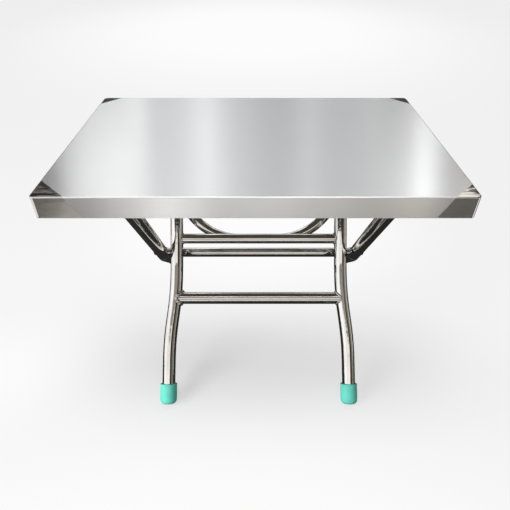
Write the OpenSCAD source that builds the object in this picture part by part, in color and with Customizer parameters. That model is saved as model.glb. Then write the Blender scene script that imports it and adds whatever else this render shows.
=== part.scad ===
// Folding steel table: a sheet-covered top on two crossed tube frames.
// Millimetres, +Z up, origin on the floor under the middle of the table.
// The front, where the inner frame has its feet, faces -Y.

/* [Table top] */
// Width of the top, left to right
table_width = 1000; // [900:10:1200]
// Depth of the top, front to back
table_depth = 640; // [630:5:700]
// Height of the working surface above the floor
table_height = 740; // [700:5:780]
// Height of the folded rim
rim_height = 55; // [50:1:60]
// Thickness of the steel sheet
sheet = 1.2; // [0.8:0.1:1.5]
// Radius of the fold along the top edge
fold_radius = 3; // [2.5:0.5:5]
// Radius of the upright corners of the rim
corner_radius = 12; // [8:1:16]
// Width of the lip folded in under the rim
lip_width = 12; // [8:1:12]
// Thickness of the board inside the top
board = 25; // [22:1:26]
// Width of the stiffening strips inside the rim
strip_width = 10; // [6:1:10]

/* [Corner caps] */
// Leg of the front left cap along the front edge
cap_front_left = 78; // [50:1:100]
// Leg of the front right cap along the front edge
cap_front_right = 60; // [50:1:100]
// Leg of the rear left cap along the rear edge
cap_rear_left = 60; // [40:1:100]
// Leg of the rear right cap along the rear edge
cap_rear_right = 60; // [40:1:100]
// How much wider a cap is at the foot of the rim
cap_slant = 28; // [10:1:40]

/* [Frames] */
// Sideways offset of both frames from the middle of the top
frame_offset = 11; // [0:1:15]
// Diameter of the leg tubes
leg_tube = 40; // [36:1:40]
// Diameter of the two top bars
top_bar_tube = 42; // [41:0.5:43]
// Diameter of the thin cross bars and the arched brace
bar_tube = 32; // [25:1:34]
// Diameter of the lower cross bar
lower_bar_tube = 38; // [30:0.5:38.5]
// Wall of all tubes
tube_wall = 1.5; // [1:0.1:2.5]
// Height of the pivot above the floor
pivot_height = 360; // [345:1:370]
// Distance of the pivot in front of the middle
pivot_ahead = 28; // [20:1:32]
// Distance from the pivot to each top bar, measured level
top_bar_reach = 251; // [246:1:253]
// Half the spacing of the inner legs above the pivot
inner_half = 264.5; // [250:0.5:275]
// Half the spacing of the inner feet
inner_foot_half = 283.5; // [280:0.5:292]
// Spacer between an inner and an outer leg
pivot_spacer = 9; // [6:0.5:12]
// Half the spacing of the outer feet
outer_foot_half = 359.5; // [352:0.5:366]
// Bend of every leg, below the pivot
bend_below = 42; // [36:1:50]
// Start of the sideways bend of an inner leg, below that bend
sway_start = 30; // [20:1:45]
// Length of that sideways bend
sway_length = 270; // [240:1:290]
// Radius of the bend of the legs
elbow_radius = 160; // [120:5:200]

/* [Cross bars] */
// Upper bar above the pivot, along the leg
upper_bar_at = 44; // [40:1:60]
// Lower bar below the bend, along the leg
lower_bar_at = 106; // [100:1:124]
// Rear bar below the bend, along the outer leg
rear_bar_at = 66; // [60:1:70]
// Distance of the rear bar from the middle of the outer legs
rear_bar_lift = 14; // [10:1:16]
// Bend radius of the arched brace
arch_radius = 204; // [180:1:220]
// Upper end of its arms, from the pivot
arch_end_at = 310; // [290:1:350]

/* [Feet] */
// Diameter of the rubber foot caps
foot_diameter = 54; // [50:1:56]
// Length of the rubber foot caps
foot_length = 62; // [55:1:68]
// How much slimmer the rubber foot caps are at the top, in radius
foot_taper = 1.5; // [0:0.5:3]
// Rounding of the foot at the floor
foot_round = 14; // [10:1:16]
// Outermost reach of the feet, front and back
foot_reach = 370; // [364:1:380]

/* [Hidden] */
$fn = 64;
leg_r = leg_tube / 2;
bar_r = bar_tube / 2;
top_bar_r = top_bar_tube / 2;
foot_r = foot_diameter / 2;
foot_flat = foot_r - foot_round;
seat_gap = 0.3;
run_gap = 0.05;
bend_swell = 0.1;
lap = 2;
over = 1;
far = 2000;
board_bottom = table_height - sheet - board;
rim_bottom = table_height - rim_height;
top_bar_z = board_bottom - seat_gap - top_bar_r;
pivot = [0, -pivot_ahead, pivot_height];
outer_half = inner_half + leg_tube + pivot_spacer;
inner_top = [0, pivot[1] + top_bar_reach, top_bar_z];
outer_top = [0, pivot[1] - top_bar_reach, top_bar_z];

// Steel colours for the preview
steel = [0.78, 0.79, 0.8];
bright = [0.6, 0.6, 0.62];
mint = [0.45, 0.85, 0.75];
timber = [0.72, 0.58, 0.4];
nylon = [0.9, 0.9, 0.86];

function unit(v) = v / norm(v);

// Middle of the rounded end of a foot, so that it rests on the floor and
// reaches as far as all the others
function foot_point(from, half, way, guess, steps) =
    let (d = unit(guess - from),
         p = [half,
              way * (foot_reach - foot_round - foot_flat * sqrt(1 - d[1] * d[1])),
              foot_round + foot_flat * sqrt(1 - d[2] * d[2])])
    steps == 0 ? p : foot_point(from, half, way, p, steps - 1);

inner_up = unit(inner_top - pivot);
outer_up = unit(outer_top - pivot);
// Square to the inner frame, towards the front
inner_normal = [0, -inner_up[2], inner_up[1]];
// Where the legs bend, in the side view
inner_bend = pivot - inner_up * bend_below;
outer_bend = pivot - outer_up * bend_below;

inner_from = inner_bend + [inner_foot_half, 0, 0];
inner_foot = foot_point(inner_from, inner_foot_half, -1, [inner_foot_half, -foot_reach, 0], 6);
inner_dir = unit(inner_foot - inner_from);
outer_from = outer_bend + [outer_half, 0, 0];
outer_foot = foot_point(outer_from, outer_foot_half, 1, [outer_foot_half, foot_reach, 0], 6);
outer_dir = unit(outer_foot - outer_from);

// Sideways bend: two equal arcs with a short straight between them
sway = inner_foot_half - inner_half;
sway_straight = 40;
sway_angle = 2 * atan(sway / (sway_length + sway_straight));
sway_radius = (sway_length - sway_straight * cos(sway_angle)) / 2 / sin(sway_angle);

// Puts local +X, +Y and +Z along three square directions at a point
module at_axes(p, x, y, z)
    multmatrix([[x[0], y[0], z[0], p[0]],
                [x[1], y[1], z[1], p[1]],
                [x[2], y[2], z[2], p[2]],
                [0, 0, 0, 1]])
        children();

// How far the inner leg has swayed outwards at a length along it
function sway_at(t) =
    let (k = min(max(t - sway_start, 0), sway_radius * sin(sway_angle)))
    sway_radius * (1 - cos(asin(k / sway_radius)));

// A straight length of round bar between two points, run on by more at its end
// into the bend that follows
module rod(a, b, r, more = 0) {
    d = b - a;
    l = norm(d);
    translate(a)
        rotate([0, acos(d[2] / l), atan2(d[1], d[0])])
            cylinder(h = l + more, r = r);
}

// Tangent length of a bend
function bend_reach(d1, d2, bend) = bend * tan(acos(d1 * d2) / 2);

// A bend at a corner point, from direction d1 to direction d2. It is a hair
// thicker than the rods that run into it.
module elbow(p, d1, d2, bend, r) {
    n = unit(cross(d1, d2));
    m = cross(n, d1);
    start = p - d1 * bend_reach(d1, d2, bend);
    at_axes(start + m * bend, -m, d1, n)
        rotate_extrude(angle = acos(d1 * d2), $fn = 96)
            translate([bend, 0])
                circle(r = r + bend_swell, $fn = 64);
}

// Inner leg, right-hand side, with tube radius r, run on by more at the foot
module inner_leg_path(r, more = 0) {
    top = [inner_half, inner_top[1], inner_top[2]];
    mid = inner_bend + [inner_half, 0, 0];
    reach = bend_reach(-inner_up, inner_dir, elbow_radius);
    turned = inner_dir * cos(sway_angle) + [sin(sway_angle), 0, 0];
    k = sway_radius * tan(sway_angle / 2);
    s1 = mid + inner_dir * sway_start;
    s2 = s1 + (inner_dir + turned) * k;
    s3 = s2 + turned * sway_straight;
    s4 = s1 + inner_dir * sway_length + [sway, 0, 0];
    rod(top, mid + inner_up * reach, r, lap);
    elbow(mid, -inner_up, inner_dir, elbow_radius, r);
    rod(mid + inner_dir * (reach - lap), s1, r, lap);
    elbow(s1 + inner_dir * k, inner_dir, turned, sway_radius, r);
    rod(s2 - turned * lap, s3, r, lap);
    elbow(s3 + turned * k, turned, inner_dir, sway_radius, r);
    rod(s4 - inner_dir * lap, inner_foot, r, more);
}

// Outer leg, right-hand side, with tube radius r, run on by more at the foot
module outer_leg_path(r, more = 0) {
    top = [outer_half, outer_top[1], outer_top[2]];
    reach = bend_reach(-outer_up, outer_dir, elbow_radius);
    rod(top, outer_from + outer_up * reach, r, lap);
    elbow(outer_from, -outer_up, outer_dir, elbow_radius, r);
    rod(outer_from + outer_dir * (reach - lap), outer_foot, r, more);
}

// Level bar across the table at a point of the side view
module cross_bar(p, half, r)
    translate([-half, p[1], p[2]])
        rotate([0, 90, 0])
            cylinder(h = 2 * half, r = r);

module inner_leg() {
    difference() {
        inner_leg_path(leg_r);
        inner_leg_path(leg_r - tube_wall, over);
        cross_bar(inner_top, inner_half + leg_r + over, top_bar_r);
        bolt_bore(bolt_r);
    }
}

module outer_leg() {
    difference() {
        outer_leg_path(leg_r);
        outer_leg_path(leg_r - tube_wall, over);
        cross_bar(outer_top, outer_half + leg_r + over, top_bar_r);
        bolt_bore(bolt_r + run_gap);
    }
}

// Pivot bolts
bolt_r = 5;
bolt_head_r = 10;
bolt_head = 6;
nut_r = 9;
nut_length = 8;
bolt_tip = 3;
spacer_r = 9;

module bolt_bore(r)
    translate([inner_half - leg_r - over, pivot[1], pivot[2]])
        rotate([0, 90, 0])
            cylinder(h = far, r = r);

module pivot_bolt() {
    start = inner_half - leg_r - nut_length - bolt_tip;
    end = outer_half + leg_r + seat_gap;
    translate([0, pivot[1], pivot[2]]) {
        translate([start, 0, 0])
            rotate([0, 90, 0])
                cylinder(h = end - start, r = bolt_r);
        // Domed head: a ball cut off flat
        intersection() {
            dome_r = (bolt_head_r * bolt_head_r + bolt_head * bolt_head) / (2 * bolt_head);
            translate([end + bolt_head - dome_r, 0, 0])
                sphere(r = dome_r, $fn = 64);
            translate([end, -bolt_head_r, -bolt_head_r])
                cube([bolt_head + over, 2 * bolt_head_r, 2 * bolt_head_r]);
        }
    }
}

module pivot_nut()
    translate([inner_half - leg_r - nut_length, pivot[1], pivot[2]])
        rotate([0, 90, 0])
            difference() {
                cylinder(h = nut_length, r = nut_r, $fn = 6);
                translate([0, 0, -over])
                    cylinder(h = nut_length + 2 * over, r = bolt_r);
            }

module spacer()
    translate([inner_half + leg_r, pivot[1], pivot[2]])
        rotate([0, 90, 0])
            difference() {
                cylinder(h = pivot_spacer - seat_gap, r = spacer_r);
                translate([0, 0, -over])
                    cylinder(h = pivot_spacer + 2 * over, r = bolt_r);
            }

// Rubber cap over the end of a leg that runs in direction d to point p
module foot(p, d) {
    inside = foot_length - foot_round;
    rotate_about = [0, acos(-d[2]), atan2(-d[1], -d[0])];
    translate(p)
        rotate(rotate_about)
            difference() {
                union() {
                    cylinder(h = inside, r1 = foot_r, r2 = foot_r - foot_taper);
                    translate([0, 0, -foot_round])
                        cylinder(h = foot_length - over, r = foot_flat);
                    rotate_extrude($fn = 96)
                        translate([foot_flat, 0])
                            intersection() {
                                circle(r = foot_round, $fn = 64);
                                translate([0, -foot_round])
                                    square([foot_round, foot_round]);
                            }
                }
                cylinder(h = foot_length, r = leg_r);
            }
}

// Rounded rectangle, centred
module rounded(w, d, r)
    union() {
        square([w - 2 * r, d], center = true);
        square([w, d - 2 * r], center = true);
        for (x = [-1, 1], y = [-1, 1])
            translate([x * (w / 2 - r), y * (d / 2 - r)])
                circle(r = r, $fn = 64);
    }

// Block with rounded upright corners and a rounded top edge, top at z = 0
module soft_block(w, d, h, r, e) {
    translate([0, 0, -h])
        linear_extrude(h - e)
            rounded(w, d, r);
    translate([0, 0, -h])
        linear_extrude(h)
            rounded(w - 2 * e, d - 2 * e, r - e);
    for (x = [-1, 1])
        translate([x * (w / 2 - e), d / 2 - r, -e])
            rotate([90, 0, 0])
                cylinder(h = d - 2 * r, r = e, $fn = 64);
    for (y = [-1, 1])
        translate([r - w / 2, y * (d / 2 - e), -e])
            rotate([0, 90, 0])
                cylinder(h = w - 2 * r, r = e, $fn = 64);
    for (x = [-1, 1], y = [-1, 1])
        translate([x * (w / 2 - r), y * (d / 2 - r), -e])
            rotate_extrude($fn = 96)
                translate([r - e, 0])
                    circle(r = e, $fn = 64);
}

// The folded sheet all round, before the corners and the lip are cut out
module skin_shell()
    difference() {
        soft_block(table_width, table_depth, rim_height, corner_radius, fold_radius);
        // Room for the board, closed at the top
        translate([0, 0, -rim_height + sheet])
            linear_extrude(rim_height - 2 * sheet)
                rounded(table_width - 2 * sheet, table_depth - 2 * sheet, corner_radius - sheet);
    }

// Corner of the sheet that a cap closes: a triangle on top, cut off on a slant
// on both faces of the rim, down to the lip
module cap_zone(x, y, leg) {
    foot_z = sheet - rim_height;
    deep = corner_radius + over;
    translate([x * table_width / 2, y * table_depth / 2, -fold_radius])
        linear_extrude(fold_radius + over)
            polygon([[x * over, y * over], [-x * (leg + over), y * over],
                     [x * over, -y * (leg + over)]]);
    translate([x * table_width / 2, y * (table_depth / 2 + over - deep / 2), 0])
        rotate([90, 0, 0])
            linear_extrude(deep, center = true)
                polygon(cap_face(x, leg, foot_z));
    translate([x * (table_width / 2 + over - deep / 2), y * table_depth / 2, 0])
        rotate([90, 0, 90])
            linear_extrude(deep, center = true)
                polygon(cap_face(y, leg, foot_z));
}

function cap_face(side, leg, foot_z) =
    [[side * over, -fold_radius], [-side * leg, -fold_radius],
     [-side * (leg + cap_slant), foot_z], [side * over, foot_z]];

module top_skin()
    color(steel)
        translate([0, 0, table_height])
            difference() {
                skin_shell();
                // Opening inside the lip
                translate([0, 0, -rim_height - over])
                    linear_extrude(2 * over + sheet)
                        rounded(table_width - 2 * lip_width, table_depth - 2 * lip_width, over);
                cap_zone(-1, -1, cap_front_left);
                cap_zone(1, -1, cap_front_right);
                cap_zone(-1, 1, cap_rear_left);
                cap_zone(1, 1, cap_rear_right);
            }

inside_width = table_width - 2 * sheet;
inside_depth = table_depth - 2 * sheet;
strip_height = rim_height - sheet - board - sheet;

module strip_across(way)
    color(timber)
        translate([0, way * (inside_depth / 2 - strip_width / 2), board_bottom - strip_height / 2])
            cube([inside_width - 2 * corner_radius, strip_width, strip_height], center = true);

module strip_along(way)
    color(timber)
        translate([way * (inside_width / 2 - strip_width / 2), 0, board_bottom - strip_height / 2])
            cube([strip_width, inside_depth - 2 * corner_radius - 2 * strip_width, strip_height],
                 center = true);

module strip_front() strip_across(-1);
module strip_rear() strip_across(1);
module strip_left() strip_along(-1);
module strip_right() strip_along(1);

// Polished corner cap, flush with the sheet and as thick
module cap(x, y, leg)
    color(bright)
        translate([0, 0, table_height])
            intersection() {
                skin_shell();
                cap_zone(x, y, leg);
            }

module cap_fl() cap(-1, -1, cap_front_left);
module cap_fr() cap(1, -1, cap_front_right);
module cap_rl() cap(-1, 1, cap_rear_left);
module cap_rr() cap(1, 1, cap_rear_right);

// Stop blocks that hold the outer top bar at the front
stop_x = 190;
stop_width = 40;
stop_height = 24;

module stop_block(way) {
    front = -inside_depth / 2 + strip_width;
    back = outer_top[1] - top_bar_r - seat_gap;
    color(nylon)
        translate([way * stop_x - stop_width / 2, front, board_bottom - stop_height])
            cube([stop_width, back - front, stop_height]);
}

module stop_left() stop_block(-1);
module stop_right() stop_block(1);

// Hinge at the rear: nylon bushes on the inner top bar, held by clamps
hinge_x = 150;
bush_width = 36;
bush_wall = 4;
clamp_wall = 2.5;
clamp_width = 30;
clamp_foot = 18;
clamp_sheet = 3;
bush_r = top_bar_r + bush_wall;
clamp_r = bush_r + run_gap + clamp_wall;
clamp_reach = clamp_r + clamp_foot;
screw_r = 2;
screw_head_r = 4;
screw_head = 2.4;
screw_depth = 16;
screw_out = clamp_r + clamp_foot / 2;

module bush(way)
    color(nylon)
        translate([way * hinge_x - bush_width / 2, inner_top[1], inner_top[2]])
            rotate([0, 90, 0])
                difference() {
                    cylinder(h = bush_width, r = bush_r);
                    translate([0, 0, -over])
                        cylinder(h = bush_width + 2 * over, r = top_bar_r + run_gap);
                }

module bush_left() bush(-1);
module bush_right() bush(1);

module hinge_clamp(way)
    color(steel)
        translate([way * hinge_x, inner_top[1], inner_top[2]])
            difference() {
                union() {
                    rotate([0, 90, 0])
                        cylinder(h = clamp_width, r = clamp_r, center = true);
                    translate([-clamp_width / 2, -clamp_reach,
                               board_bottom - inner_top[2] - clamp_sheet])
                        cube([clamp_width, 2 * clamp_reach, clamp_sheet]);
                }
                rotate([0, 90, 0])
                    cylinder(h = clamp_width + 2 * over, r = bush_r + run_gap, center = true);
                clamp_holes(screw_r);
            }

module clamp_left() hinge_clamp(-1);
module clamp_right() hinge_clamp(1);

// Screw axes of one clamp, seen from the hinge axis
module clamp_holes(r)
    for (y = [-1, 1])
        translate([0, y * screw_out, -far / 2])
            cylinder(h = far, r = r);

module clamp_screws()
    color(bright)
        for (way = [-1, 1], y = [-1, 1])
            translate([way * hinge_x, inner_top[1] + y * screw_out, board_bottom - clamp_sheet]) {
                cylinder(h = screw_depth, r = screw_r);
                translate([0, 0, -screw_head])
                    cylinder(h = screw_head, r = screw_head_r);
            }

pocket_room = 2;

module core_board()
    color(timber)
        difference() {
            translate([0, 0, board_bottom])
                linear_extrude(board)
                    rounded(inside_width, inside_depth, corner_radius - sheet);
            for (way = [-1, 1]) {
                // Pocket over the hinge ring
                translate([way * hinge_x - bush_width / 2 - pocket_room,
                           inner_top[1] - clamp_r - pocket_room, board_bottom - over])
                    cube([bush_width + 2 * pocket_room, 2 * (clamp_r + pocket_room),
                          over + clamp_r - top_bar_r - seat_gap + pocket_room]);
                for (y = [-1, 1])
                    translate([way * hinge_x, inner_top[1] + y * screw_out, board_bottom - over])
                        cylinder(h = over + screw_depth - clamp_sheet, r = screw_r);
            }
        }

// Bars of the inner frame, cut to fit against the legs
module between_inner_legs()
    for (m = [0, 1])
        mirror([m, 0, 0])
            inner_leg_path(leg_r);

module between_outer_legs()
    for (m = [0, 1])
        mirror([m, 0, 0])
            outer_leg_path(leg_r);

module inner_top_bar()
    color(steel)
        framed()
            difference() {
                cross_bar(inner_top, inner_half + leg_r, top_bar_r);
                cross_bar(inner_top, inner_half + leg_r - tube_wall, top_bar_r - tube_wall);
            }

module outer_top_bar()
    color(steel)
        framed()
            difference() {
                cross_bar(outer_top, outer_half + leg_r, top_bar_r);
                cross_bar(outer_top, outer_half + leg_r - tube_wall, top_bar_r - tube_wall);
            }

// The upper bar is flush with the back of the legs
upper_bar_mid = pivot + inner_up * upper_bar_at - inner_normal * (leg_r - bar_r);
lower_bar_mid = inner_bend + inner_dir * lower_bar_at;
outer_side = unit([0, outer_dir[1], outer_dir[2]]);
rear_bar_mid = outer_bend + outer_side * rear_bar_at
    + [0, -outer_side[2], outer_side[1]] * rear_bar_lift;

module tube_bar(p, half, r)
    difference() {
        cross_bar(p, half, r);
        cross_bar(p, half + over, r - tube_wall);
    }

module upper_bar()
    color(steel)
        framed()
            difference() {
                tube_bar(upper_bar_mid, inner_half, bar_r);
                between_inner_legs();
            }

module lower_bar()
    color(steel)
        framed()
            difference() {
                tube_bar(lower_bar_mid, inner_half + sway_at(lower_bar_at), lower_bar_tube / 2);
                between_inner_legs();
            }

module rear_bar()
    color(steel)
        framed()
            difference() {
                tube_bar(rear_bar_mid, outer_half + outer_dir[0] * rear_bar_at, bar_r);
                between_outer_legs();
            }

// Arched brace: one bent tube lying against the back of the upper bar and the
// legs, with both arms running up behind the legs
arch_mid = pivot + inner_up * upper_bar_at - inner_normal * (leg_r + bar_r + seat_gap);
arch_flat = inner_half - arch_radius;
arch_corner = [inner_half, arch_mid[1], arch_mid[2]];

// The arched brace with tube radius r, its arms cut short by less
module arch_path(r, less = 0) {
    cross_bar(arch_mid, arch_flat + lap, r);
    for (m = [0, 1])
        mirror([m, 0, 0]) {
            elbow(arch_corner, [1, 0, 0], inner_up, arch_radius, r);
            rod(arch_corner + inner_up * (arch_radius - lap),
                arch_corner + inner_up * (arch_end_at - upper_bar_at - less), r);
        }
}

module arch_brace()
    color(steel)
        framed()
            difference() {
                arch_path(bar_r);
                arch_path(bar_r - tube_wall, tube_wall);
            }

// Places what belongs to the two frames
module framed()
    translate([frame_offset, 0, 0])
        children();

module mirrored(way)
    framed()
        mirror([way < 0 ? 1 : 0, 0, 0])
            children();

module inner_leg_left() color(steel) mirrored(-1) inner_leg();
module inner_leg_right() color(steel) mirrored(1) inner_leg();
module outer_leg_left() color(steel) mirrored(-1) outer_leg();
module outer_leg_right() color(steel) mirrored(1) outer_leg();
module foot_front_left() color(mint) mirrored(-1) foot(inner_foot, inner_dir);
module foot_front_right() color(mint) mirrored(1) foot(inner_foot, inner_dir);
module foot_rear_left() color(mint) mirrored(-1) foot(outer_foot, outer_dir);
module foot_rear_right() color(mint) mirrored(1) foot(outer_foot, outer_dir);
module pivot_bolt_left() color(bright) mirrored(-1) pivot_bolt();
module pivot_bolt_right() color(bright) mirrored(1) pivot_bolt();
module pivot_nut_left() color(bright) mirrored(-1) pivot_nut();
module pivot_nut_right() color(bright) mirrored(1) pivot_nut();
module spacer_left() color(bright) mirrored(-1) spacer();
module spacer_right() color(bright) mirrored(1) spacer();

top_skin();
core_board();
strip_front();
strip_rear();
strip_left();
strip_right();
cap_fl();
cap_fr();
cap_rl();
cap_rr();
stop_left();
stop_right();
clamp_left();
clamp_right();
clamp_screws();
bush_left();
bush_right();
inner_leg_left();
inner_leg_right();
inner_top_bar();
upper_bar();
lower_bar();
arch_brace();
foot_front_left();
foot_front_right();
outer_leg_left();
outer_leg_right();
outer_top_bar();
rear_bar();
foot_rear_left();
foot_rear_right();
pivot_bolt_left();
pivot_bolt_right();
pivot_nut_left();
pivot_nut_right();
spacer_left();
spacer_right();
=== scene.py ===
import math
import random
import bmesh
import bpy
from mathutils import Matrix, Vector


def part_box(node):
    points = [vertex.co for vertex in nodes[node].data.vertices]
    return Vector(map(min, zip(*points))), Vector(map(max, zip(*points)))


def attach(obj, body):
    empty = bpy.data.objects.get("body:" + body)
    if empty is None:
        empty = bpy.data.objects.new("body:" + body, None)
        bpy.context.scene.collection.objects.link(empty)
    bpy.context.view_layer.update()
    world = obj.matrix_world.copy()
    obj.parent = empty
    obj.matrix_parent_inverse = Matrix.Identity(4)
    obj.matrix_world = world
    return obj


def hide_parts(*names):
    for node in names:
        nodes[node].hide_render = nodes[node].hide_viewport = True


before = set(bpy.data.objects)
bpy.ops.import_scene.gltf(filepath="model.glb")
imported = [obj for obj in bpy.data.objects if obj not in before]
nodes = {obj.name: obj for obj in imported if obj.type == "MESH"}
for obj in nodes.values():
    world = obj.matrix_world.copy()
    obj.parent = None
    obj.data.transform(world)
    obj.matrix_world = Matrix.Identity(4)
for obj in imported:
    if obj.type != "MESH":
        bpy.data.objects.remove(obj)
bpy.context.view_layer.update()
scene = bpy.context.scene
scene.view_settings.view_transform = "Standard"

# Sizes of the frame, in metres, as in the part's source
OFFSET = 0.011
LEG_R = 0.020
TOP_BAR_R = 0.021
BAR_R = 0.016
LOWER_BAR_R = 0.019
PIVOT_Y = -0.028
PIVOT_Z = 0.360
TOP_BAR_REACH = 0.251
TOP_BAR_Z = 0.6925
INNER_HALF = 0.2645
OUTER_HALF = 0.3135
INNER_FOOT_HALF = 0.2835
OUTER_FOOT_HALF = 0.3595
BEND_BELOW = 0.042
SWAY_START = 0.030
SWAY_LENGTH = 0.270
SWAY_STRAIGHT = 0.040
FOOT_R = 0.027
FOOT_ROUND = 0.014
FOOT_REACH = 0.370

SIDES = (("left", -1), ("right", 1))

# ---------------------------------------------------------------- node helpers


def new_material(name):
    """A material with nodes, its node tree, and its Principled shader."""
    m = bpy.data.materials.new(name)
    m.use_nodes = True
    return m, m.node_tree, m.node_tree.nodes["Principled BSDF"]


def add(nt, kind, links=(), **values):
    """A node with some sockets or settings given, and links from (socket, input)."""
    n = nt.nodes.new(kind)
    for key, value in values.items():
        if key in n.inputs.keys():
            n.inputs[key].default_value = value
        else:
            setattr(n, key, value)
    for out, inp in links:
        nt.links.new(out, n.inputs[inp])
    return n


def maths(nt, op, a, b=None, c=None, clamp=False):
    """One sum of sockets or numbers."""
    n = nt.nodes.new("ShaderNodeMath")
    n.operation = op
    n.use_clamp = clamp
    for i, v in enumerate((a, b, c)):
        if v is None:
            continue
        if hasattr(v, "links"):
            nt.links.new(v, n.inputs[i])
        else:
            n.inputs[i].default_value = v
    return n.outputs[0]


def ramp(nt, fac, stops, interpolation="LINEAR"):
    """Colour by (position, grey or colour) stops."""
    n = nt.nodes.new("ShaderNodeValToRGB")
    n.color_ramp.interpolation = interpolation
    els = n.color_ramp.elements
    while len(els) > 1:
        els.remove(els[-1])
    for i, (pos, col) in enumerate(stops):
        if not hasattr(col, "__len__"):
            col = (col, col, col, 1)
        elif len(col) == 3:
            col = (*col, 1)
        e = els[0] if i == 0 else els.new(pos)
        e.position, e.color = pos, col
    nt.links.new(fac, n.inputs["Fac"])
    return n.outputs["Color"]


def remap(nt, value, lo, hi, to_lo=0.0, to_hi=1.0, smooth=True):
    """A value between lo and hi, brought to between to_lo and to_hi."""
    n = nt.nodes.new("ShaderNodeMapRange")
    n.interpolation_type = "SMOOTHSTEP" if smooth else "LINEAR"
    nt.links.new(value, n.inputs["Value"])
    n.inputs["From Min"].default_value, n.inputs["From Max"].default_value = lo, hi
    n.inputs["To Min"].default_value, n.inputs["To Max"].default_value = to_lo, to_hi
    return n.outputs["Result"]


def mix(nt, fac, a, b):
    """Colour a turning into colour b as fac goes from 0 to 1."""
    n = nt.nodes.new("ShaderNodeMix")
    n.data_type = "RGBA"
    for sock, v in ((n.inputs[0], fac), (n.inputs[6], a), (n.inputs[7], b)):
        if hasattr(v, "links"):
            nt.links.new(v, sock)
        elif hasattr(v, "__len__"):
            sock.default_value = (*v, 1) if len(v) == 3 else v
        else:
            sock.default_value = v
    return n.outputs[2]


def place(nt, scale=(1, 1, 1)):
    """Object coordinates times a scale."""
    tc = nt.nodes.new("ShaderNodeTexCoord")
    mp = add(nt, "ShaderNodeMapping", [(tc.outputs["Object"], "Vector")], Scale=scale)
    return mp.outputs["Vector"]


def noise(nt, vector, scale, detail=3.0, rough=0.55, distort=0.0):
    """Noise from 0 to 1."""
    n = add(nt, "ShaderNodeTexNoise", [(vector, "Vector")], Scale=scale, Detail=detail,
            Roughness=rough, Distortion=distort)
    return n.outputs["Fac"]


def bump(nt, height, strength, distance, below=None):
    """Normal of a surface with a height on it, laid over another bump if given."""
    n = add(nt, "ShaderNodeBump", [(height, "Height")], Strength=strength, Distance=distance)
    if below is not None:
        nt.links.new(below, n.inputs["Normal"])
    return n.outputs["Normal"]


# ---------------------------------------------------------------- materials


def sheet_steel():
    """Brushed sheet: the grain runs along the long sides, and along the short
    sides of the rim."""
    m, nt, b = new_material("brushed_sheet")
    geo = nt.nodes.new("ShaderNodeNewGeometry")
    sep = add(nt, "ShaderNodeSeparateXYZ", [(geo.outputs["Normal"], "Vector")])
    side = maths(nt, "ABSOLUTE", sep.outputs["X"])
    not_side = maths(nt, "SUBTRACT", 1.0, side)
    grain = add(nt, "ShaderNodeCombineXYZ", [(not_side, "X"), (side, "Y")])
    tangent = add(nt, "ShaderNodeVectorMath", [(geo.outputs["Normal"], 0),
                                               (grain.outputs[0], 1)],
                  operation="CROSS_PRODUCT")
    nt.links.new(tangent.outputs[0], b.inputs["Tangent"])
    tc = nt.nodes.new("ShaderNodeTexCoord")
    xyz = add(nt, "ShaderNodeSeparateXYZ", [(tc.outputs["Object"], "Vector")])
    # Streaks to the metre: few along the grain, many across it
    long, fine = 3.0, 900.0
    across = maths(nt, "MULTIPLY", xyz.outputs["Y"],
                   maths(nt, "MULTIPLY_ADD", not_side, fine - long, long))
    along = maths(nt, "MULTIPLY", xyz.outputs["X"], long)
    up = maths(nt, "MULTIPLY", xyz.outputs["Z"], fine)
    vec = add(nt, "ShaderNodeCombineXYZ", [(along, "X"), (across, "Y"), (up, "Z")]).outputs[0]
    streak = noise(nt, vec, 1.0, 5.0, 0.65)
    coarse = add(nt, "ShaderNodeMapping", [(vec, "Vector")], Scale=(0.6, 0.16, 0.16))
    band = noise(nt, coarse.outputs[0], 1.0, 3.0)
    cloud = noise(nt, place(nt), 2.6, 4.0)
    colour = ramp(nt, streak, [(0.25, (0.825, 0.828, 0.832)), (0.75, (0.855, 0.857, 0.86))])
    colour = mix(nt, remap(nt, band, 0.3, 0.7, 0.0, 0.35), colour, (0.86, 0.862, 0.865))
    colour = mix(nt, remap(nt, cloud, 0.35, 0.75, 0.0, 0.16), colour, (0.74, 0.742, 0.748))
    # The folds are burnished by hands and cloths, and the side ones get a painted dark line of
    # shade
    flat = maths(nt, "MAXIMUM", maths(nt, "ABSOLUTE", sep.outputs["Z"]),
                 maths(nt, "MAXIMUM", side, maths(nt, "ABSOLUTE", sep.outputs["Y"])))
    fold = remap(nt, flat, 0.999, 0.985)
    painted_side_fold_shade = maths(nt, "MULTIPLY", fold, remap(nt, side, 0.05, 0.15))
    colour = mix(nt, painted_side_fold_shade, colour, (0.08, 0.078, 0.075))
    nt.links.new(colour, b.inputs["Base Color"])
    rough = maths(nt, "MULTIPLY_ADD", streak, 0.05, 0.19)
    rough = maths(nt, "MULTIPLY_ADD", cloud, 0.05, rough)
    rough = maths(nt, "MULTIPLY", rough, maths(nt, "MULTIPLY_ADD", fold, -0.6, 1.0))
    nt.links.new(rough, b.inputs["Roughness"])
    nt.links.new(bump(nt, streak, 0.03, 0.0002), b.inputs["Normal"])
    b.inputs["Metallic"].default_value = 1.0
    b.inputs["Anisotropic"].default_value = 0.90
    return m


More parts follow.
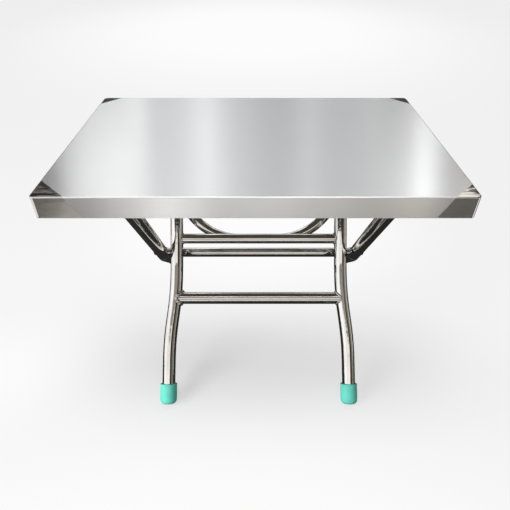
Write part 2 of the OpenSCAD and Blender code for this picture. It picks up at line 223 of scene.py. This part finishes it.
def polished(name, base, dark, rough, wave, wave_scale, line=0.0, stretch=(1, 1, 1)):
    """Polished steel with a slightly wavy surface, faint cloudiness and fine
    polishing lines."""
    m, nt, b = new_material(name)
    v = place(nt)
    cloud = noise(nt, v, 14.0, 4.0)
    fine = noise(nt, place(nt, stretch), 220.0, 4.0, 0.7)
    colour = ramp(nt, cloud, [(0.32, dark), (0.68, base)])
    colour = mix(nt, remap(nt, fine, 0.62, 0.74, 0.0, 0.25), colour, dark)
    nt.links.new(colour, b.inputs["Base Color"])
    r = maths(nt, "MULTIPLY_ADD", cloud, rough * 0.7, rough * 0.55)
    r = maths(nt, "MULTIPLY_ADD", fine, rough * 0.5, r)
    nt.links.new(r, b.inputs["Roughness"])
    swell = noise(nt, place(nt, stretch), wave_scale, 2.0, 0.5, 0.3)
    normal = bump(nt, swell, 1.0, wave)
    if line:
        normal = bump(nt, fine, line, 0.0001, normal)
    nt.links.new(normal, b.inputs["Normal"])
    b.inputs["Metallic"].default_value = 1.0
    return m


def weld_steel():
    """Bare weld metal with brown heat tints."""
    m, nt, b = new_material("weld_bead")
    v = place(nt)
    grain = noise(nt, v, 500.0, 3.0)
    cloud = noise(nt, v, 60.0, 2.0)
    colour = ramp(nt, cloud, [(0.3, (0.50, 0.45, 0.39)), (0.55, (0.82, 0.80, 0.77)),
                              (0.8, (0.72, 0.72, 0.74))])
    nt.links.new(colour, b.inputs["Base Color"])
    nt.links.new(maths(nt, "MULTIPLY_ADD", grain, 0.25, 0.2), b.inputs["Roughness"])
    nt.links.new(bump(nt, grain, 0.6, 0.0005), b.inputs["Normal"])
    b.inputs["Metallic"].default_value = 1.0
    return m


def rubber():
    """Mint rubber, with painted contact shade darkening it near the floor."""
    m, nt, b = new_material("mint_rubber")
    v = place(nt)
    cloud = noise(nt, v, 35.0, 4.0)
    colour = ramp(nt, cloud, [(0.3, (0.15, 0.71, 0.57)), (0.7, (0.18, 0.79, 0.65))])
    sep = add(nt, "ShaderNodeSeparateXYZ", [(v, "Vector")])
    # Painted contact shade: the rubber darkens towards the floor, patchy by noise
    painted_contact_shade = maths(nt, "MULTIPLY", remap(nt, sep.outputs["Z"], 0.010, 0.0),
                 remap(nt, noise(nt, v, 240.0, 3.0), 0.35, 0.7, 0.45, 0.95))
    colour = mix(nt, painted_contact_shade, colour, (0.02, 0.20, 0.14))
    nt.links.new(colour, b.inputs["Base Color"])
    nt.links.new(maths(nt, "MULTIPLY_ADD", cloud, 0.2, 0.30), b.inputs["Roughness"])
    b.inputs["Specular IOR Level"].default_value = 0.28
    nt.links.new(bump(nt, noise(nt, v, 900.0, 2.0), 0.2, 0.0003), b.inputs["Normal"])
    return m


def particle_board():
    """Dark board of pressed chips."""
    m, nt, b = new_material("particle_board")
    v = place(nt)
    chips = add(nt, "ShaderNodeTexVoronoi", [(v, "Vector")], Scale=240.0)
    cloud = noise(nt, v, 9.0, 5.0)
    fac = maths(nt, "MULTIPLY_ADD", chips.outputs["Distance"], 0.6, cloud)
    colour = ramp(nt, fac, [(0.35, (0.15, 0.125, 0.10)), (0.85, (0.27, 0.23, 0.19))])
    nt.links.new(colour, b.inputs["Base Color"])
    b.inputs["Roughness"].default_value = 0.75
    nt.links.new(bump(nt, chips.outputs["Distance"], 0.3, 0.0006), b.inputs["Normal"])
    return m


def nylon():
    """White moulded nylon, finely rough."""
    m, nt, b = new_material("white_nylon")
    v = place(nt)
    cloud = noise(nt, v, 120.0, 3.0)
    nt.links.new(ramp(nt, cloud, [(0.3, (0.66, 0.66, 0.62)), (0.7, (0.76, 0.76, 0.72))]),
                 b.inputs["Base Color"])
    nt.links.new(maths(nt, "MULTIPLY_ADD", cloud, 0.15, 0.4), b.inputs["Roughness"])
    nt.links.new(bump(nt, cloud, 0.15, 0.0003), b.inputs["Normal"])
    return m


MATS = {
    "sheet": sheet_steel(),
    "cap": polished("mirror_cap", (0.76, 0.755, 0.74), (0.66, 0.65, 0.63), rough=0.05,
                    wave=0.0005, wave_scale=22.0, stretch=(0.5, 1.3, 1.3)),
    "tube": polished("polished_tube", (0.88, 0.87, 0.85), (0.76, 0.74, 0.71), rough=0.05,
                     wave=0.0007, wave_scale=24.0, line=0.08),
    "bracket": polished("bracket_steel", (0.56, 0.56, 0.56), (0.42, 0.42, 0.42), rough=0.32,
                        wave=0.0002, wave_scale=60.0, line=0.2),
    "bolt": polished("bright_bolt", (0.66, 0.65, 0.62), (0.5, 0.49, 0.46), rough=0.2,
                     wave=0.0001, wave_scale=90.0, line=0.1),
    "weld": weld_steel(),
    "rubber": rubber(),
    "board": particle_board(),
    "nylon": nylon(),
}


def material_for(name):
    """Key in MATS of the material of a CAD node."""
    if name == "top_skin":
        return "sheet"
    if name.startswith("cap_"):
        return "cap"
    if name == "core_board" or name.startswith("strip_"):
        return "board"
    if name.startswith("foot_"):
        return "rubber"
    if name.startswith(("stop_", "bush_")):
        return "nylon"
    if name.startswith(("pivot_", "spacer_")) or name == "clamp_screws":
        return "bolt"
    if name.startswith("clamp_"):
        return "bracket"
    return "tube"


for name, obj in nodes.items():
    obj.data.materials.clear()
    obj.data.materials.append(MATS[material_for(name)])

# ------------------------------------------------------------------ pieces


def unit(v):
    return Vector(v).normalized()


def sides_of(d):
    """Two directions square to d and to each other."""
    a = unit(d.cross(Vector((0, 0, 1)) if abs(d.z) < 0.9 else Vector((1, 0, 0))))
    return a, d.cross(a)


def piece(name, bm, mat, body):
    """A smooth piece from a bmesh, which rides on a body."""
    me = bpy.data.meshes.new(name)
    bmesh.ops.recalc_face_normals(bm, faces=bm.faces)
    bm.to_mesh(me)
    bm.free()
    for poly in me.polygons:
        poly.use_smooth = True
    me.materials.append(mat)
    o = bpy.data.objects.new(name, me)
    scene.collection.objects.link(o)
    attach(o, body)
    return o


# Side view of both frames, as in the part's source
INNER_TOP = Vector((0, PIVOT_Y + TOP_BAR_REACH, TOP_BAR_Z))
OUTER_TOP = Vector((0, PIVOT_Y - TOP_BAR_REACH, TOP_BAR_Z))
MIDDLE = Vector((0, PIVOT_Y, PIVOT_Z))
inner_up = unit(INNER_TOP - MIDDLE)
outer_up = unit(OUTER_TOP - MIDDLE)
inner_bend = MIDDLE - inner_up * BEND_BELOW
outer_bend = MIDDLE - outer_up * BEND_BELOW
FOOT_FLAT = FOOT_R - FOOT_ROUND


def foot_point(start, half, way):
    """Middle of the rounded end of a foot, as the source finds it."""
    p = Vector((half, way * FOOT_REACH, 0))
    # The direction and the end depend on each other, and settle in a few rounds
    for _ in range(8):
        d = unit(p - start)
        p = Vector((half, way * (FOOT_REACH - FOOT_ROUND - FOOT_FLAT * math.sqrt(1 - d.y ** 2)),
                    FOOT_ROUND + FOOT_FLAT * math.sqrt(1 - d.z ** 2)))
    return p, unit(p - start)


inner_foot, inner_dir = foot_point(inner_bend + Vector((INNER_FOOT_HALF, 0, 0)),
                                   INNER_FOOT_HALF, -1)
outer_foot, outer_dir = foot_point(outer_bend + Vector((OUTER_HALF, 0, 0)), OUTER_FOOT_HALF, 1)


def sway_at(t):
    """How far an inner leg has swayed outwards at a length t below its bend, and its
    slope there, as long as it is still in its first arc."""
    sway = INNER_FOOT_HALF - INNER_HALF
    angle = 2 * math.atan(sway / (SWAY_LENGTH + SWAY_STRAIGHT))
    radius = (SWAY_LENGTH - SWAY_STRAIGHT * math.cos(angle)) / 2 / math.sin(angle)
    k = min(max(t - SWAY_START, 0), radius * math.sin(angle))
    rise = math.sqrt(radius * radius - k * k)
    return radius - rise, k / rise


# Points round a turned piece or a seam, and round a weld bead
TURNS = 96
RING = 10


def lathe(base, axis, profile):
    """Turned piece: profile of (radius, height) pairs along an axis."""
    bm = bmesh.new()
    a, b = sides_of(axis)
    rows = []
    for r, h in profile:
        row = []
        for i in range(TURNS):
            t = 2 * math.pi * i / TURNS
            row.append(bm.verts.new(base + axis * h + (a * math.cos(t) + b * math.sin(t)) * r))
        rows.append(row)
    for lower, upper in zip(rows, rows[1:]):
        for i in range(TURNS):
            j = (i + 1) % TURNS
            bm.faces.new((lower[i], lower[j], upper[j], upper[i]))
    for row in (rows[0], rows[-1]):
        bm.faces.new(row)
    return bm


def foot_profile():
    """Rubber cap in millimetres: tread rings, round edge, nearly straight side, and
    a rolled lip that stands off the tube."""
    edge = 14.0
    groove, shallow = 1.2 - edge, 1.1 - edge
    rows = [(2, groove), (5.2, groove), (6, -edge), (8.2, -edge), (9, shallow), (10.2, shallow),
            (11, -edge)]
    for i in range(10):
        t = math.radians(-90 + 10 * i)
        rows.append((13 + 12.6 * math.cos(t), edge * math.sin(t)))
    rows += [(25.75, 4), (25.9, 10), (25.95, 18), (25.85, 26), (25.7, 34), (25.5, 40),
             (25.4, 42.6), (25.8, 43.3), (26.2, 44.2), (26.35, 45.4), (26.1, 46.8), (25.4, 47.7),
             (24.4, 48.0), (23.2, 47.7), (22.3, 46.6), (21.6, 44.5), (21.2, 41), (20.7, 40.2),
             (20.05, 40.0), (20.05, 30)]
    return [(r / 1000, h / 1000) for r, h in rows]


def rubber_foot(name, foot, direction, way, body, node_name):
    """Turned rubber cap on the end of a leg, in place of its plain solid."""
    p = Vector((OFFSET + way * foot.x, foot.y, foot.z))
    axis = Vector((-way * direction.x, -direction.y, -direction.z))
    o = piece(name, lathe(p, axis, foot_profile()), MATS["rubber"], body)
    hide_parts(node_name)


for side, way in SIDES:
    rubber_foot("rubber_front_" + side, inner_foot, inner_dir, way, "inner_frame",
                "foot_front_" + side)
    rubber_foot("rubber_rear_" + side, outer_foot, outer_dir, way, "outer_frame",
                "foot_rear_" + side)


def meeting_curve(p1, d1, r1, p2, d2, r2):
    """Where tube 1, run along d1, first touches tube 2. Both are round."""
    a, b = sides_of(d1)
    w = d1 - d2 * d1.dot(d2)
    out = []
    for i in range(TURNS):
        t = 2 * math.pi * i / TURNS
        start = p1 + (a * math.cos(t) + b * math.sin(t)) * r1
        q = start - p2
        q -= d2 * q.dot(d2)
        half_b, aa, cc = q.dot(w), w.dot(w), q.dot(q) - r2 * r2
        # A line that misses tube 2 stops where it comes nearest
        root = max(half_b * half_b - aa * cc, 0)
        step = (-half_b - math.sqrt(root)) / aa
        out.append(start + d1 * step)
    return out


# Weld beads, in metres: radii, steps along the curve, and length of one scale
BEAD_UPPER = 0.0032
BEAD_LOWER = {"left": 0.0064, "right": 0.0036}
BEAD_THIN = 0.0024
BEAD_STEP = 0.0007
SCALE_LENGTH = 0.0042


def bead(name, body, curve, size, seed):
    """Weld bead: an overlapping row of small scales laid along a closed curve."""
    rng = random.Random(seed)
    pts = []
    for p, q in zip(curve, curve[1:] + curve[:1]):
        n = max(1, round((q - p).length / BEAD_STEP))
        pts += [p.lerp(q, k / n) for k in range(n)]
    afters = pts[1:] + pts[:1]
    total = sum((after - p).length for p, after in zip(pts, afters))
    scales = max(6, round(total / SCALE_LENGTH))
    lumps = [rng.uniform(0.86, 1.18) for _ in range(scales + 1)]
    lumps[-1] = lumps[0]
    bm = bmesh.new()
    rows = []
    run = 0.0
    for i, (p, after) in enumerate(zip(pts, afters)):
        a, b = sides_of(unit(after - pts[i - 1]))
        s = run / total * scales
        k = int(s) % scales
        f = s - int(s)
        lump = lumps[k] * (1 - f) + lumps[k + 1] * f
        r = size * lump * (0.80 + 0.26 * (1 - f) ** 0.6)
        rows.append([bm.verts.new(p + (a * math.cos(t) + b * math.sin(t)) * r)
                     for t in [2 * math.pi * j / RING for j in range(RING)]])
        run += (after - p).length
    for lower, upper in zip(rows, rows[1:] + rows[:1]):
        # A ring may start at another place round the bead than the one before it
        shift = min(range(RING), key=lambda k: (lower[0].co - upper[k].co).length)
        for j in range(RING):
            bm.faces.new((lower[j], lower[(j + 1) % RING], upper[(j + 1 + shift) % RING],
                          upper[(j + shift) % RING]))
    return piece(name, bm, MATS["weld"], body)


def middle_of(name):
    """Middle of a CAD node's box."""
    low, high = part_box(name)
    return (Vector(low) + Vector(high)) / 2


X = Vector((1, 0, 0))
for side, way in SIDES:
    out = X * way
    seed = 10 if side == "left" else 20
    inner = Vector((OFFSET + way * INNER_HALF, MIDDLE.y, MIDDLE.z))
    outer = Vector((OFFSET + way * OUTER_HALF, MIDDLE.y, MIDDLE.z))
    # Upper and lower bar against the inner leg
    c = middle_of("upper_bar")
    bead("weld_upper_" + side, "inner_frame",
         meeting_curve(Vector((OFFSET, c.y, c.z)), out, BAR_R, inner, inner_up, LEG_R),
         BEAD_UPPER, seed + 1)
    c = middle_of("lower_bar")
    t = (Vector((0, c.y, c.z)) - inner_bend).dot(inner_dir)
    sway, slope = sway_at(t)
    leg = inner_bend + inner_dir * t + Vector((OFFSET + way * (INNER_HALF + sway), 0, 0))
    bead("weld_lower_" + side, "inner_frame",
         meeting_curve(Vector((OFFSET, c.y, c.z)), out, LOWER_BAR_R, leg,
                       unit(inner_dir + out * slope), LEG_R),
         BEAD_LOWER[side], seed + 2)
    # Legs against the top bars
    bead("weld_inner_top_" + side, "inner_frame",
         meeting_curve(inner, inner_up, LEG_R, INNER_TOP, X, TOP_BAR_R), BEAD_THIN, seed + 3)
    bead("weld_outer_top_" + side, "outer_frame",
         meeting_curve(outer, outer_up, LEG_R, OUTER_TOP, X, TOP_BAR_R), BEAD_THIN, seed + 4)
    # Rear bar against the outer leg
    c = middle_of("rear_bar")
    leg = outer_bend + Vector((OFFSET + way * OUTER_HALF, 0, 0))
    lean = Vector((way * outer_dir.x, outer_dir.y, outer_dir.z))
    bead("weld_rear_" + side, "outer_frame",
         meeting_curve(Vector((OFFSET, c.y, c.z)), out, BAR_R, leg, lean, LEG_R),
         BEAD_THIN, seed + 5)

# ------------------------------------------------------------------ stage


# Brightness of the floor as it is seen, where 1 is white, and the painted glow added to it
# far behind the table, in front of it and close behind it
FLOOR_SEEN = 0.91
PAINTED_GLOW_FAR, PAINTED_GLOW_NEAR, PAINTED_GLOW_BACK = 0.08, 0.06, 0.07
FLOOR_HALF = 30


def backdrop(name, corner, size, height, mat):
    """Level rectangle of the stage, from its low corner."""
    (x, y), (w, d) = corner, size
    me = bpy.data.meshes.new(name)
    me.from_pydata([(x, y, height), (x + w, y, height), (x + w, y + d, height),
                    (x, y + d, height)], [], [(0, 1, 2, 3)])
    me.materials.append(mat)
    o = bpy.data.objects.new(name, me)
    scene.collection.objects.link(o)
    return o


def floor_material():
    """Pale floor. The camera, and what is mirrored or seen through, show it lifted
    towards white by a painted glow, most of all away from the table, with the shadow kept.
    For light that it sends back to matt surfaces it is darker."""
    m, nt, b = new_material("pale_floor")
    v = place(nt)
    cloud = noise(nt, v, 0.9, 2.0)
    path = nt.nodes.new("ShaderNodeLightPath")
    seen = maths(nt, "MAXIMUM", path.outputs["Is Camera Ray"], path.outputs["Is Glossy Ray"])
    seen = maths(nt, "MAXIMUM", seen, path.outputs["Is Transmission Ray"])
    pale = ramp(nt, cloud, [(0.3, 0.79), (0.7, 0.81)])
    colour = mix(nt, seen, (0.32, 0.32, 0.32), pale)
    nt.links.new(colour, b.inputs["Base Color"])
    b.inputs["Roughness"].default_value = 0.9
    b.inputs["Specular IOR Level"].default_value = 0.0

    def distance(spot, stretch):
        """Distance from a spot on the floor, with each axis stretched."""
        off = add(nt, "ShaderNodeVectorMath", [(v, 0)], operation="SUBTRACT")
        off.inputs[1].default_value = spot
        wide = add(nt, "ShaderNodeVectorMath", [(off.outputs[0], 0)], operation="MULTIPLY")
        wide.inputs[1].default_value = stretch
        return add(nt, "ShaderNodeVectorMath", [(wide.outputs[0], 0)],
                   operation="LENGTH").outputs["Value"]

    far = remap(nt, distance((0, 5.0, 0), (1, 1, 1)), 3.6, 0.8)
    near = remap(nt, distance((0, -0.85, 0), (0.5, 1, 1)), 0.62, 0.20)
    back = remap(nt, distance((0, 0.66, 0), (1, 1.3, 1)), 1.05, 0.35)
    strength = maths(nt, "MULTIPLY_ADD", far, PAINTED_GLOW_FAR, FLOOR_SEEN)
    strength = maths(nt, "MULTIPLY_ADD", near, PAINTED_GLOW_NEAR, strength)
    strength = maths(nt, "MULTIPLY_ADD", back, PAINTED_GLOW_BACK, strength)
    lift = add(nt, "ShaderNodeEmission", [(strength, "Strength")], Color=(1, 1, 1, 1))
    # The share of the lift is smallest in the shadow, under the front of the table: this painted
    # mask keeps the lamps' shadow there and paints it out further away
    share = ramp(nt, distance((-0.20, -0.20, 0), (0.25, 1, 1)),
                 [(0.0, 0.50), (0.12, 0.62), (0.22, 0.80), (0.34, 0.92)])
    share = maths(nt, "MULTIPLY_ADD", far, 0.06, share)
    share = maths(nt, "MULTIPLY_ADD", back, 0.05, share)
    share = maths(nt, "MULTIPLY", seen, share)
    seen_floor = add(nt, "ShaderNodeMixShader", [(share, 0), (b.outputs[0], 1),
                                                 (lift.outputs[0], 2)])
    nt.links.new(seen_floor.outputs[0], nt.nodes["Material Output"].inputs["Surface"])
    return m


backdrop("floor", (-FLOOR_HALF, -FLOOR_HALF), (2 * FLOOR_HALF, 2 * FLOOR_HALF), 0,
         floor_material())


def card(name, corner, size, stops, height=0.002):
    """Reflection card lying on the floor: only polished steel sees it. The stops
    give its brightness along X."""
    m, nt, b = new_material(name)
    nt.nodes.remove(b)
    x = add(nt, "ShaderNodeSeparateXYZ", [(place(nt), "Vector")]).outputs["X"]
    low, high = stops[0][0], stops[-1][0]
    colour = ramp(nt, remap(nt, x, low, high, smooth=False),
                  [((p - low) / (high - low), c) for p, c in stops], "EASE")
    glow = add(nt, "ShaderNodeEmission", [(colour, "Color")], Strength=1.0)
    nt.links.new(glow.outputs[0], nt.nodes["Material Output"].inputs["Surface"])
    o = backdrop(name, corner, size, height, m)
    o.visible_camera = o.visible_diffuse = o.visible_shadow = False
    o.visible_transmission = False
    return o


def warm(v, tint=0.05):
    """Grey with a warm tint."""
    return (v * (1 + tint), v, v * (1 - 1.6 * tint))


def cool(v):
    """Grey with a faint cool tint."""
    return (v * 0.982, v * 0.998, v * 1.014)


# What the rim mirrors of the floor in front of the table, by X
RIM_CARD = [(-1.6, warm(0.13)), (-1.14, warm(0.17)), (-1.04, warm(0.27)),
            (-0.96, warm(0.42, 0.04)), (-0.90, warm(0.44, 0.04)),
            (-0.85, warm(0.66, 0.03)), (-0.70, warm(1.20, 0.02)), (-0.47, warm(2.0, 0.02)),
            (-0.33, warm(1.60, 0.01)), (-0.19, warm(1.17, 0.01)), (0.10, warm(1.18, 0.01)),
            (0.35, warm(0.96, 0.04)), (0.62, warm(0.76, 0.05)), (0.80, warm(0.86, 0.06)),
            (0.905, warm(1.25, 0.06)), (1.00, warm(1.35, 0.06)), (1.6, warm(1.35, 0.06))]
card("rim_card", (-1.6, -1.85), (3.2, 0.62), RIM_CARD, height=0.004)
# Its right end is dark, cut off along the slant of the front right corner cap
corner_card = card("rim_card_corner", (0.74, -1.85), (0.86, 0.62),
                   [(0.74, warm(0.16)), (1.6, warm(0.13))], height=0.006)
CORNER_SLANT = 0.53
corner_card.data.vertices[0].co.x += CORNER_SLANT
# Dark cards keep the white floor out of the tubes, as the photograph shows them
card("dark_card_middle", (-1.45, -2.4), (2.95, 4.1),
     [(-1.45, warm(0.12)), (-1.0, warm(0.03)), (1.0, warm(0.02)), (1.50, warm(0.03))])
card("dark_card_right", (1.95, -2.4), (4.0, 8.4),
     [(1.95, 0.04), (3.0, 0.05), (4.2, 0.50), (5.95, 0.62)])
card("dark_card_back", (1.50, -0.15), (0.45, 1.85), [(1.50, 0.04), (1.95, 0.04)])
card("dark_card_front", (1.50, -2.4), (0.45, 1.45), [(1.50, 0.05), (1.95, 0.05)])
card("dark_card_left", (-6.0, 0.60), (4.55, 3.4),
     [(-6.0, 0.60), (-3.2, 0.50), (-2.0, 0.06), (-1.45, 0.06)])

# The studio round the table: plain white for the camera, soft white for what is
# matt, and for polished steel a room with soft boxes and darker walls between them
BACKDROP_SEEN = 0.86
SOFT_LIGHT = 0.30
world = bpy.data.worlds.new("studio")
scene.world = world
world.use_nodes = True
world.cycles.sampling_method = "NONE"
wn = world.node_tree
where = wn.nodes.new("ShaderNodeTexCoord").outputs["Generated"]
axes = add(wn, "ShaderNodeSeparateXYZ", [(where, "Vector")]).outputs
bearing = remap(wn, maths(wn, "ARCTAN2", axes["X"], maths(wn, "MULTIPLY", axes["Y"], -1.0)),
                -math.pi, math.pi, smooth=False)


def facing(direction):
    """Cosine of the angle between where a ray goes and a direction."""
    n = add(wn, "ShaderNodeVectorMath", [(where, 0)], operation="DOT_PRODUCT")
    n.inputs[1].default_value = Vector(direction).normalized()
    return n.outputs["Value"]


def cone(direction, inner, outer):
    """1 within the inner angle round a direction, 0 past the outer one."""
    return remap(wn, facing(direction), math.cos(math.radians(outer)),
                 math.cos(math.radians(inner)))


def band(low, high, soft):
    """1 between two heights above the horizon, in degrees, with soft edges."""
    def step(e):
        return remap(wn, axes["Z"], math.sin(math.radians(max(e - soft, -90))),
                     math.sin(math.radians(min(e + soft, 90))))
    return maths(wn, "SUBTRACT", step(low), step(high), clamp=True)


def around(stops):
    """Walls by bearing, in degrees: 0 is the front, 90 the right side."""
    return ramp(wn, bearing, [((b + 180) / 360, c) for b, c in stops])


def both(a, b):
    """Where two masks meet."""
    return maths(wn, "MULTIPLY", a, b)


# The wall that the top mirrors is measured on a panel square to this direction:
# panel_u runs to the right, and panel_v downwards
PANEL = (0, 0.785, 0.62)
PANEL_DOWN = (0, 0.62, -0.785)
panel_out = maths(wn, "MAXIMUM", facing(PANEL), 0.05)
panel_u = maths(wn, "DIVIDE", facing((1, 0, 0)), panel_out)
panel_v = maths(wn, "DIVIDE", facing(PANEL_DOWN), panel_out)
STRIPS_END = 0.8


def strips(stops):
    """Upright strips of light on the wall behind the table, by panel_u."""
    return ramp(wn, remap(wn, panel_u, -STRIPS_END, STRIPS_END, smooth=False),
                [((p + STRIPS_END) / (2 * STRIPS_END), c) for p, c in stops], "EASE")


# Walls of the studio by bearing, level with the table
LEVEL_WALLS = [(-180, 0.60), (-150, 0.60), (-138, 0.50), (-128, 0.06), (-112, 0.14),
               (-102, 0.55), (-90, 1.0), (-76, 1.15), (-54, 1.15), (-40, 1.05), (-28, 0.86),
               (-14, warm(0.60, 0.03)), (-6, warm(0.44, 0.06)), (2, warm(0.60, 0.04)),
               (9, warm(0.50, 0.06)), (17, warm(0.26, 0.1)), (24, warm(0.20, 0.14)),
               (33, warm(0.04, 0.16)), (52, warm(0.025, 0.18)), (58, warm(0.16, 0.16)),
               (64, warm(0.26, 0.12)), (70, warm(0.05, 0.1)), (76, warm(0.30, 0.08)),
               (83, warm(0.62, 0.05)), (89, warm(0.40, 0.06)), (94, warm(0.03, 0.1)),
               (108, 0.02), (118, 0.12), (126, 0.16), (138, 0.45), (150, 0.60), (180, 0.60)]
# Strips of light on the wall behind, by panel_u
TOP_STRIPS = [(-0.78, 0.75), (-0.70, 0.55), (-0.64, 0.10), (-0.54, 0.92), (-0.43, 1.02),
              (-0.36, 1.46), (-0.29, 1.66), (-0.255, 1.35), (-0.225, cool(0.94)),
              (-0.16, cool(1.06)), (-0.11, cool(1.43)), (-0.07, cool(1.06)),
              (-0.04, cool(0.87)), (0.03, cool(0.70)), (0.075, cool(0.68)),
              (0.12, cool(0.89)), (0.17, cool(0.71)), (0.24, cool(0.74)), (0.30, 0.98),
              (0.345, 1.14), (0.375, 2.15), (0.395, 1.80), (0.425, 0.84), (0.47, 0.46),
              (0.50, 0.32), (0.62, 0.10), (0.70, 0.55), (0.78, 0.75)]

room = mix(wn, band(-90, 58, 3), warm(0.04), around(LEVEL_WALLS))
# The wall in front is darker high up, and the ceiling is one large soft box
front = both(cone((0, -0.77, 0.64), 24, 40), band(38, 62, 2))
room = mix(wn, front, room, mix(wn, band(50, 70, 1.5), warm(0.30, 0.06), warm(0.07, 0.1)))
glare = both(cone((0, -0.84, 0.54), 16, 26), band(29, 38, 1.5))
room = mix(wn, glare, room, warm(1.0, 0.03))
room = mix(wn, band(62, 90, 4), room, (2.5, 2.5, 2.46))
# Behind the table: dark near the horizon and high up, strips of light between
behind = cone((0, 1, 0), 60, 72)
room = mix(wn, both(behind, band(-34, 7, 2)), room, (0.05, 0.05, 0.052))
room = mix(wn, both(behind, band(40, 62, 3)), room, (0.12, 0.12, 0.12))
lit_back = both(cone(PANEL, 36, 48), band(8, 41, 3))
panel = mix(wn, remap(wn, panel_v, 0.20, 0.34, 0.0, 0.42), strips(TOP_STRIPS), (0, 0, 0))
room = mix(wn, lit_back, room, panel)
# Dark corners of the panel, for the two rear corner caps
rear_left = both(remap(wn, panel_u, -0.286, -0.300), remap(wn, panel_v, 0.322, 0.334))
rear_right = both(remap(wn, panel_u, 0.282, 0.298), remap(wn, panel_v, 0.308, 0.322))
rear_corner = maths(wn, "ADD", rear_left, rear_right)
room = mix(wn, both(rear_corner, lit_back), room, (0.07, 0.07, 0.075))
# For the front caps: dark with a grey streak on the left, cream on the right, with
# a dark line along its outer edge
low_panel = both(remap(wn, panel_v, 0.20, 0.18), lit_back)
left_corner = both(remap(wn, panel_u, -0.425, -0.440), low_panel)
streak_left = both(remap(wn, panel_v, 0.135, 0.140), remap(wn, panel_v, 0.152, 0.146))
room = mix(wn, left_corner, room, mix(wn, streak_left, warm(0.03, 0.1), warm(0.32, 0.05)))
right_corner = both(remap(wn, panel_u, 0.452, 0.465), low_panel)
streak_right = remap(wn, panel_v, 0.150, 0.143)
room = mix(wn, right_corner, room, mix(wn, streak_right, warm(0.55, 0.07), warm(1.15, 0.05)))
right_edge = remap(wn, maths(wn, "MULTIPLY_ADD", panel_v, 0.74, panel_u), 0.596, 0.601)
room = mix(wn, both(right_edge, low_panel), room, warm(0.02, 0.1))

paths = wn.nodes.new("ShaderNodeLightPath")
matt = add(wn, "ShaderNodeBackground", Color=(1, 1, 1, 1), Strength=SOFT_LIGHT)
mirrored = add(wn, "ShaderNodeBackground", [(room, "Color")], Strength=1.0)
plain = add(wn, "ShaderNodeBackground", Color=(1, 1, 1, 1), Strength=BACKDROP_SEEN)
unseen = add(wn, "ShaderNodeMixShader", [(paths.outputs["Is Glossy Ray"], 0),
                                         (matt.outputs[0], 1), (mirrored.outputs[0], 2)])
final = add(wn, "ShaderNodeMixShader", [(paths.outputs["Is Camera Ray"], 0),
                                        (unseen.outputs[0], 1), (plain.outputs[0], 2)])
wn.links.new(final.outputs[0], wn.nodes["World Output"].inputs["Surface"])

LIT = Vector((0, 0, 0.2))


def soft_box(name, loc, size, power):
    """Area lamp pointed low under the table, which polished steel doesn't mirror."""
    d = bpy.data.lights.new(name, "AREA")
    d.shape = "RECTANGLE"
    d.size, d.size_y = size
    d.energy = power
    o = bpy.data.objects.new(name, d)
    o.location = loc
    o.rotation_euler = (LIT - Vector(loc)).to_track_quat("-Z", "Y").to_euler()
    o.visible_glossy = False
    scene.collection.objects.link(o)


soft_box("key", loc=(-0.2, 0.25, 3.2), size=(1.8, 1.4), power=62)
soft_box("fill", loc=(-2.3, -1.7, 1.4), size=(1.8, 1.6), power=80)

# ------------------------------------------------------------------ camera
# As solved from the photograph: degrees down, and focal length in its pixels
VIEW_DOWN = 38.29
FOCAL = 442.8
PHOTO_WIDTH = 510
SENSOR = 36
cam_data = bpy.data.cameras.new("camera")
cam = bpy.data.objects.new("camera", cam_data)
scene.collection.objects.link(cam)
cam.location = (-0.0008, -1.1595, 1.2416)
cam.rotation_euler = (math.radians(90 - VIEW_DOWN), 0, 0)
cam_data.sensor_width = SENSOR
cam_data.lens = FOCAL / PHOTO_WIDTH * SENSOR
scene.camera = cam
